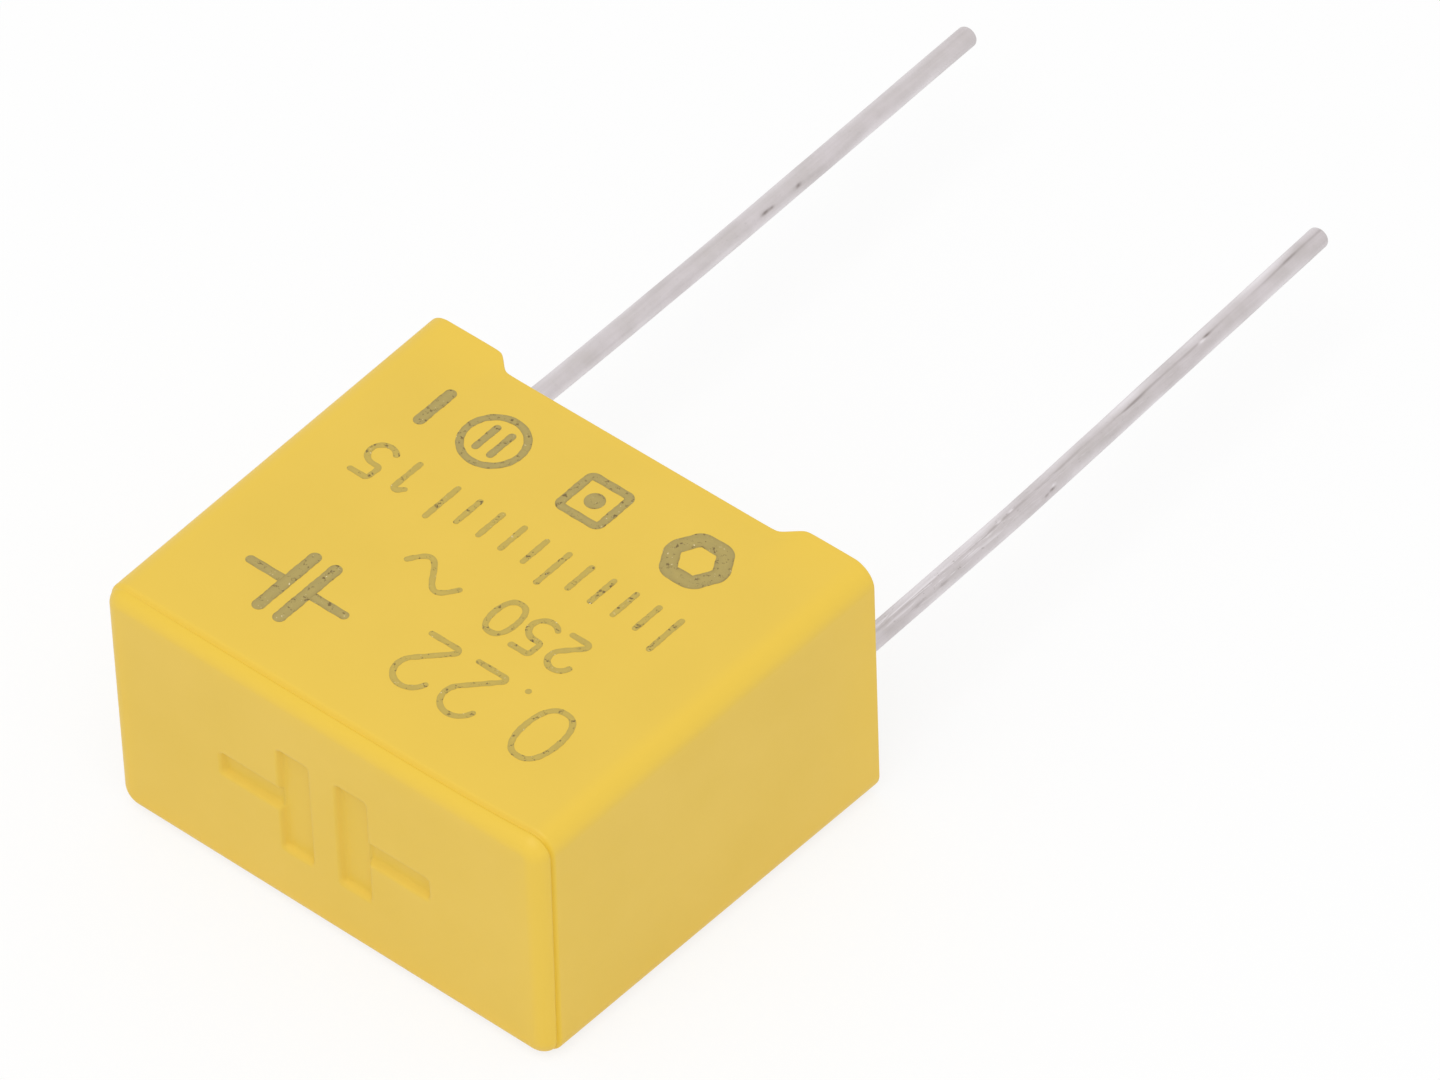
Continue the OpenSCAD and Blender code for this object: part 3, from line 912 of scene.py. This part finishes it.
def eased(path, radius):
    """The path with each sharp corner replaced by an arc of that radius, which touches both of its sides: the
    arc's centre lies on the line that halves the corner. A blunt corner gets radius 0, and of points that
    repeat one is kept."""
    corner = path[1:-1, None]
    back, on = path[:-2, None] - corner, path[2:, None] - corner
    back, on = (way / np.linalg.norm(way, axis=-1, keepdims=True) for way in (back, on))
    half = np.arccos(np.clip((back * on).sum(-1, keepdims=True), -1, 1)) / 2
    middle = back + on
    middle = middle / np.maximum(np.linalg.norm(middle, axis=-1, keepdims=True), 1e-9)
    side = (on - (on * middle).sum(-1, keepdims=True) * middle) / np.sin(half)
    sweep = (math.pi / 2 - half) * np.linspace(-1, 1, CORNER_STEPS)[:, None]
    arc = middle / np.sin(half) - np.cos(sweep) * middle + np.sin(sweep) * side
    arc = corner + np.where(half > BLUNT, 0.0, radius) * arc
    points = np.vstack([path[:1], arc.reshape(-1, 2), path[-1:]])
    return points[np.append(True, np.any(np.diff(points, axis=0), axis=1))]


def even_line(path, closed, width):
    """Points in even steps along the eased path, and the unit direction from each one's neighbour before to
    the one after."""
    if closed:
        loop = eased(np.vstack([path[-1:], path, path[:1]]), CORNER_R * width)[1:-1]
        loop = np.vstack([loop, loop[:1]])
    else:
        loop = eased(path, CORNER_R * width)
    run = np.append(0, np.cumsum(np.hypot(*np.diff(loop, axis=0).T)))
    even = np.linspace(0, run[-1], max(4, int(run[-1] / LINE_STEP)), endpoint=not closed)
    line = np.stack([np.interp(even, run, loop[:, 0]), np.interp(even, run, loop[:, 1])], -1)
    wide = np.pad(line, ((1, 1), (0, 0)), mode="wrap" if closed else "edge")
    ahead = wide[2:] - wide[:-2]
    return line, ahead / np.hypot(ahead[:, 0], ahead[:, 1])[:, None]


def bar_form(path, closed, pen, film, waver):
    """A flat bar carried along a path that lies on the drafted broad wall. Its section is a low rectangle,
    its width wavers with two sines along the path, and open ends are rounded, the width falling as the
    cosine while the end moves on as the sine. Its border values, 1 at its sides and 0 in its middle, come
    back beside it."""
    line, ahead = even_line(path, closed, pen / MM)
    sway = np.sin(9 * line[:, 0] + 7 * line[:, 1]) + 0.8 * np.sin(23 * line[:, 1] + 2)
    half = (pen / 2 + waver * sway) / MM
    if not closed:
        swing = np.linspace(END_ANGLE, 0, END_ROWS, endpoint=False)
        out, fall = np.sin(swing)[:, None], np.cos(swing)
        start = line[0] - ahead[0] * half[0] * out
        stop = line[-1] + ahead[-1] * half[-1] * out[::-1]
        line = np.vstack([start, line, stop])
        ahead = np.pad(ahead, ((END_ROWS, END_ROWS), (0, 0)), mode="edge")
        half = np.concatenate([half[0] * fall, half, half[-1] * fall[::-1]])
    across, height, border = SECTION.T
    border = np.tile(border, len(line))
    sideways = np.stack([-ahead[:, 1], ahead[:, 0]], -1) * half[:, None]
    flat = -(line[:, None] + across[:, None] * sideways[:, None]) * MM
    wall = Z_MID + HALF_T - (Y_SEAT - flat[..., 1]) * TAPER
    rings = np.concatenate([flat, (wall + height * film / 2)[..., None]], -1)
    return (hoop(rings), border) if closed else (tube(rings), np.append(border, [1.0, 1.0]))


def marking_strokes(marking):
    """All the strokes of the marking by piece name: numerals, a large plate sign, a wave above a scale, and
    simple shapes."""
    big, small = marking.big / MM, marking.small / MM
    p = np.linspace(0, 1, 60)
    wave = np.stack([0.2 + 2.1 * p, 0.92 + 0.5 * np.sin(2 * math.pi * p)], -1)
    tick_p = [-5.9 + 0.9 * count for count in range(11)]
    tick_q = [-1.2 if count % 5 else -0.8 for count in range(11)]
    square = np.array([(-1.3, -5.3), (0.3, -5.3), (0.3, -3.7), (-1.3, -3.7)])
    return {
        "mark_stems": [dash(2.2, 3.9, 3.6, 3.9, 1.3), dash(4.6, 3.9, 6.0, 3.9, 1.3)],
        "mark_plates": [dash(3.68, 2.65, 3.68, 5.15, 1.7), dash(4.52, 2.65, 4.52, 5.15, 1.7)],
        "mark_numerals": [*numerals("0.22", -6.4, 2.8, big), *numerals("250", -4.6, 0.2, small),
                          *numerals("15", 4.2, -2.35, small)],
        "mark_scale": [(wave, False, FINE_PEN),
                       *(dash(place, -2.3, place, top, FINE_PEN) for place, top in zip(tick_p, tick_q))],
        "mark_shapes": [
            (arc_path(-4.6, -4.5, 0.95, 0.95, 0, 300, 6), True, 2.2),
            (square, True, 1.2),
            dash(-0.5, -4.5, -0.499, -4.5, 2.6),
            (arc_path(3.6, -4.5, 1.05, 1.05, 0, 360, 73)[:-1], True, 1.0),
            dash(3.3, -5.0, 3.3, -4.0, 1.0),
            dash(3.9, -5.0, 3.9, -4.0, 1.0),
            dash(6.0, -5.2, 6.0, -3.8, 1.6),
        ],
    }


# Operators

class CAPACITOR_OT_case(Operator):
    """Build the moulded case in place of its solid."""
    bl_idname = "capacitor.case"
    bl_label = "Build case"

    def execute(self, context):
        case = context.scene.capacitor.case
        form = case_form(case)
        piece = add_piece("moulded_case", form, plastic_material(case), edge=edge_nearness(form[0]),
                          groove=groove_nearness(form[0], case))
        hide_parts("case")
        return {"FINISHED"}


class CAPACITOR_OT_leads(Operator):
    """Build both tinned leads in place of their solids."""
    bl_idname = "capacitor.leads"
    bl_label = "Build leads"

    # Nicks: place in millimetres, heading in degrees, depth and reach in millimetres, half turn in degrees,
    # and tone from dark to bright
    NICKS = {
        "left": ((13.72, 38, 0.03, 0.2, 9, -1.1), (14.02, 36, 0.02, 0.1, 7, -0.8),
                 (15.33, 34, 0.03, 0.13, 9, -1.1), (6.2, 60, 0.012, 0.4, 12, 0.0)),
        "right": ((9.9, 24, 0.03, 0.13, 8, -1.0), (9.6, 20, 0.02, 0.1, 7, -0.8),
                  (10.0, 38, 0.01, 0.1, 6, 0.9), (17.8, 69, 0.02, 0.16, 7, 1.2),
                  (18.05, 76, 0.015, 0.2, 7, -0.8), (3.4, 34, 0.01, 0.3, 8, -0.5),
                  (4.6, 30, 0.01, 0.25, 8, -0.5), (8.2, 86, 0.01, 0.12, 5, 1.0),
                  (7.6, 82, 0.01, 0.12, 5, 1.0)),
    }
    # Lines of wear and painted sheen: the short ones are scratches, and the ones from -9 to 30 mm run the
    # whole wire as painted bands of highlight, reflection and shade. Columns: strength, heading and half turn
    # in degrees, start and stop in millimetres, wander in degrees
    WEAR_AND_SHEEN_LINES = {
        "left": ((0.04, 60, 80, -9, 30, 4), (0.6, -8, 32, -9, 30, 6), (0.5, 124, 32, -9, 30, 4)),
        "right": ((0.8, 118, 26, -9, 30, 4), (-0.45, 76, 6, -9, 30, 3), (-0.08, 50, 24, -9, 30, 6),
                  (0.6, -8, 32, -9, 30, 6), (0.8, 86, 2.5, 2.3, 5.2, 0), (0.5, 92, 2.5, 3.6, 6.4, 0),
                  (0.8, 47, 2.5, 5.9, 7.3, 0), (0.6, 41, 2.5, 6.6, 7.5, 0), (-0.4, 70, 7, 13.8, 14.8, 0),
                  (-0.4, 80, 8, 22.1, 22.7, 0)),
    }
    # Scuffed places: strength, heading and half turn in degrees, place and reach in millimetres
    SCUFFS = {
        "left": ((0.12, 60, 80, 12, 9),),
        "right": ((0.8, 95, 22, 4, 3.5), (0.45, 45, 40, 5, 3), (0.2, 60, 60, 12, 8)),
    }

    def execute(self, context):
        leads = context.scene.capacitor.leads
        material = tin_material(leads)
        for side in SIDES:
            marks = self.NICKS[side], self.WEAR_AND_SHEEN_LINES[side], self.SCUFFS[side]
            form, wear, scuff = wire_form(side, leads, *marks)
            piece = add_piece(f"wire_{side}", form, material, wear=wear, scuff=scuff)
            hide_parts(f"lead_{side}")
        return {"FINISHED"}


class CAPACITOR_OT_resin(Operator):
    """Build the cast resin in place of its solid."""
    bl_idname = "capacitor.resin"
    bl_label = "Build resin"

    def execute(self, context):
        case, resin = context.scene.capacitor.case, context.scene.capacitor.resin
        piece = add_piece("cast_resin", resin_form(resin, case), resin_material(resin))
        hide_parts("potting_resin")
        return {"FINISHED"}


class CAPACITOR_OT_marking(Operator):
    """Build the generic marking on the upper broad wall."""
    bl_idname = "capacitor.marking"
    bl_label = "Build marking"

    def execute(self, context):
        marking = context.scene.capacitor.marking
        bold = mark_material("Bold laser mark", marking.bold, marking.speck, rim=0.6)
        fine = mark_material("Fine laser mark", marking.fine, marking.speck, rim=0.3)
        for name, strokes in marking_strokes(marking).items():
            film = marking.film * (STEM_FILM if name == "mark_stems" else 1.0)
            bars, borders = zip(*(bar_form(path, closed, wide * marking.pen, film, marking.waver)
                                  for path, closed, wide in strokes))
            material = fine if name in ("mark_numerals", "mark_scale") else bold
            add_piece(name, joined(bars), material, smooth=False, border=np.concatenate(borders))
        return {"FINISHED"}


class CAPACITOR_OT_inside(Operator):
    """Finish the solids that stay: the film roll and its two sprayed end layers."""
    bl_idname = "capacitor.inside"
    bl_label = "Finish inside"

    def execute(self, context):
        spray = spray_material()
        finishes = {"film_winding": film_material(), "end_spray_left": spray, "end_spray_right": spray}
        for node, material in finishes.items():
            for slot in frame["nodes"][node].material_slots:
                slot.material = material
        return {"FINISHED"}


class CAPACITOR_OT_stage(Operator):
    """Set up the floor, the light and the camera."""
    bl_idname = "capacitor.stage"
    bl_label = "Set the stage"

    # All in metres, apart from the sensor's width, which is in millimetres
    FLOOR_REACH, FLOOR_SUNK = 3.0, 0.004 * MM
    LAMP_SIZE, LAMP_PLACE = 0.5, Vector((0.12, -0.23, 0.6))
    CLIP_NEAR, CLIP_FAR, SENSOR = 0.01, 20.0, 36.0

    def execute(self, context):
        scene, stage = context.scene, context.scene.capacitor.stage
        floor, lamp, camera = self.floor(stage), self.lamp(stage), self.camera(stage)
        for thing in (floor, lamp, camera):
            scene.collection.objects.link(thing)
        scene.camera = camera
        scene.world = self.sky(stage)
        scene.view_settings.view_transform = "Standard"
        return {"FINISHED"}

    def floor(self, stage):
        """Floor that leans with the broad wall that the part lies on, sunk a little below it."""
        corners = np.array([(-1, -1), (1, -1), (1, 1), (-1, 1)]) * self.FLOOR_REACH
        places = np.column_stack([corners, -corners[:, 1] * TAPER - self.FLOOR_SUNK])
        mesh = bpy.data.meshes.new("floor")
        mesh.from_pydata(places.tolist(), [], [(0, 1, 2, 3)])
        mesh.materials.append(floor_material(stage))
        return bpy.data.objects.new("floor", mesh)

    def lamp(self, stage):
        """Round soft lamp overhead that points at the origin."""
        light = bpy.data.lights.new("key", "AREA")
        light.shape = "DISK"
        light.size = self.LAMP_SIZE
        light.energy = stage.key
        lamp = bpy.data.objects.new("key", light)
        lamp.location = self.LAMP_PLACE
        lamp.rotation_euler = (-lamp.location).to_track_quat("-Z", "Y").to_euler()
        return lamp

    def camera(self, stage):
        """Camera that looks at a point beside the middle of the seating face."""
        azimuth, elevation, roll = stage.azimuth, stage.elevation, stage.roll
        flat = math.cos(elevation)
        back = Vector((math.sin(azimuth) * flat, -math.cos(azimuth) * flat, math.sin(elevation)))
        level = Vector((math.cos(azimuth), math.sin(azimuth), 0.0))
        rise = back.cross(level)
        right = math.cos(roll) * level + math.sin(roll) * rise
        up = math.cos(roll) * rise - math.sin(roll) * level
        lens = bpy.data.cameras.new("camera")
        lens.lens = stage.lens
        lens.sensor_width = self.SENSOR
        lens.clip_start = self.CLIP_NEAR
        lens.clip_end = self.CLIP_FAR
        camera = bpy.data.objects.new("camera", lens)
        aim = Vector((0.0, Y_SEAT, Z_MID)) + stage.across * right + stage.above * up
        turned = Matrix((right, up, back)).transposed().to_4x4()
        camera.matrix_world = Matrix.Translation(aim + stage.distance * back) @ turned
        return camera

    def sky(self, stage):
        """Even light all round; the camera and reflections see plain white."""
        world = bpy.data.worlds.new("sky")
        world.use_nodes = True
        tree = world.node_tree
        lit = fill(tree, tree.nodes["Background"], {"Color": WHITE, "Strength": stage.sky})
        show_white(tree, lit.outputs["Background"], "ShaderNodeBackground", 1.0, "World Output")
        return world


class CAPACITOR_PT_panel(Panel):
    """Settings and build steps of the film capacitor."""
    bl_idname = "CAPACITOR_PT_panel"
    bl_label = "Film capacitor"
    bl_space_type = "VIEW_3D"
    bl_region_type = "UI"
    bl_category = "Capacitor"

    def draw(self, context):
        settings = context.scene.capacitor
        for step in STEPS:
            name = step.bl_idname.split(".")[1]
            box = self.layout.box()
            box.operator(step.bl_idname)
            group = getattr(settings, name, None)
            for key in group.__annotations__ if group else ():
                box.prop(group, key)


STEPS = (CAPACITOR_OT_case, CAPACITOR_OT_leads, CAPACITOR_OT_resin, CAPACITOR_OT_marking,
         CAPACITOR_OT_inside, CAPACITOR_OT_stage)
CLASSES = (CAPACITOR_PG_case, CAPACITOR_PG_leads, CAPACITOR_PG_resin, CAPACITOR_PG_marking,
           CAPACITOR_PG_stage, CAPACITOR_PG_all, *STEPS, CAPACITOR_PT_panel)


def register():
    """Register the classes and hang the settings on the scene."""
    for cls in CLASSES:
        bpy.utils.register_class(cls)
    bpy.types.Scene.capacitor = PointerProperty(type=CAPACITOR_PG_all)


def unregister():
    """Take the settings and the classes away again."""
    del bpy.types.Scene.capacitor
    for cls in reversed(CLASSES):
        bpy.utils.unregister_class(cls)


def main():
    """Build every piece and the stage."""
    register()
    bpy.ops.capacitor.case()
    bpy.ops.capacitor.leads()
    bpy.ops.capacitor.resin()
    bpy.ops.capacitor.marking()
    bpy.ops.capacitor.inside()
    bpy.ops.capacitor.stage()


if __name__ == "__main__":
    main()
